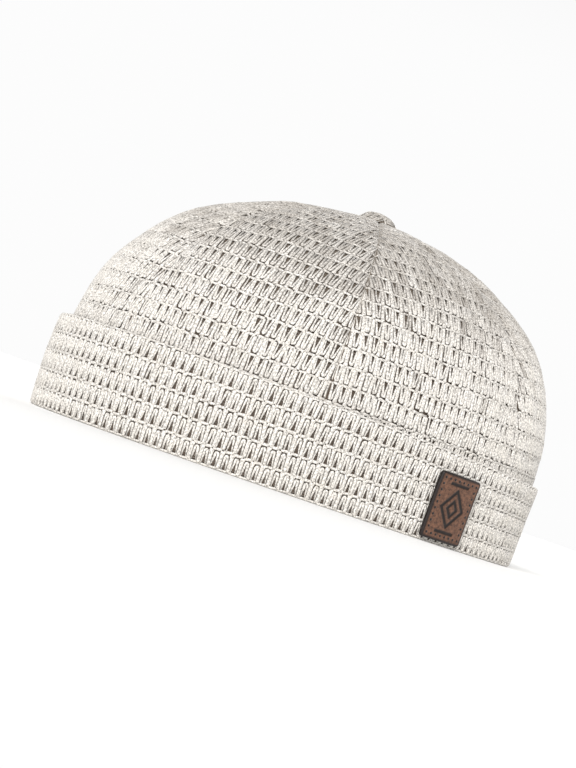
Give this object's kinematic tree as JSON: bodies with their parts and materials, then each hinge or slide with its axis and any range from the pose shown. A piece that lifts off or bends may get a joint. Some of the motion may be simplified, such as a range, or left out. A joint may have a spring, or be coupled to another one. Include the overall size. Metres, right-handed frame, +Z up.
{
  "type": "docker cap",
  "caption": "Brimless knit cap with sewn crown panels, a turned-up cuff, a cloth sweatband, a covered button and a strap with a slider across an arched back opening.",
  "frame": {"origin": "middle of the cap's footprint, on the surface that it rests on", "axes": "+Z up, the wearer faces -Y, the back opening is at +Y, the wearer's left, with the patch, is +X"},
  "size_m": [0.1779, 0.201, 0.1096],
  "materials": {
    "crown_knit": "open knit mesh in off-white yarn",
    "cuff_knit": "open knit mesh in off-white yarn, turned up double",
    "sweatband_cotton": "plain beige cotton with rows of stitches",
    "binding_cotton": "rolled beige cotton edge",
    "webbing": "black ribbed webbing",
    "slider_plastic": "moulded black plastic with a soft sheen",
    "patch_leather": "brown leather with dark stitches and a burnt edge"
  },
  "bodies": {
    "root": {"crown_panel_front_left": "crown_knit", "crown_panel_front_right": "crown_knit", "crown_panel_side_left": "crown_knit", "crown_panel_side_right": "crown_knit", "crown_panel_back_left": "crown_knit", "crown_panel_back_right": "crown_knit", "crown_button": "crown_knit", "cuff": "cuff_knit", "sweatband": "sweatband_cotton", "arch_binding": "binding_cotton", "strap_long": "webbing", "strap_short": "webbing", "strap_slider": "slider_plastic", "side_patch": "patch_leather"}
  },
  "joints": []
}
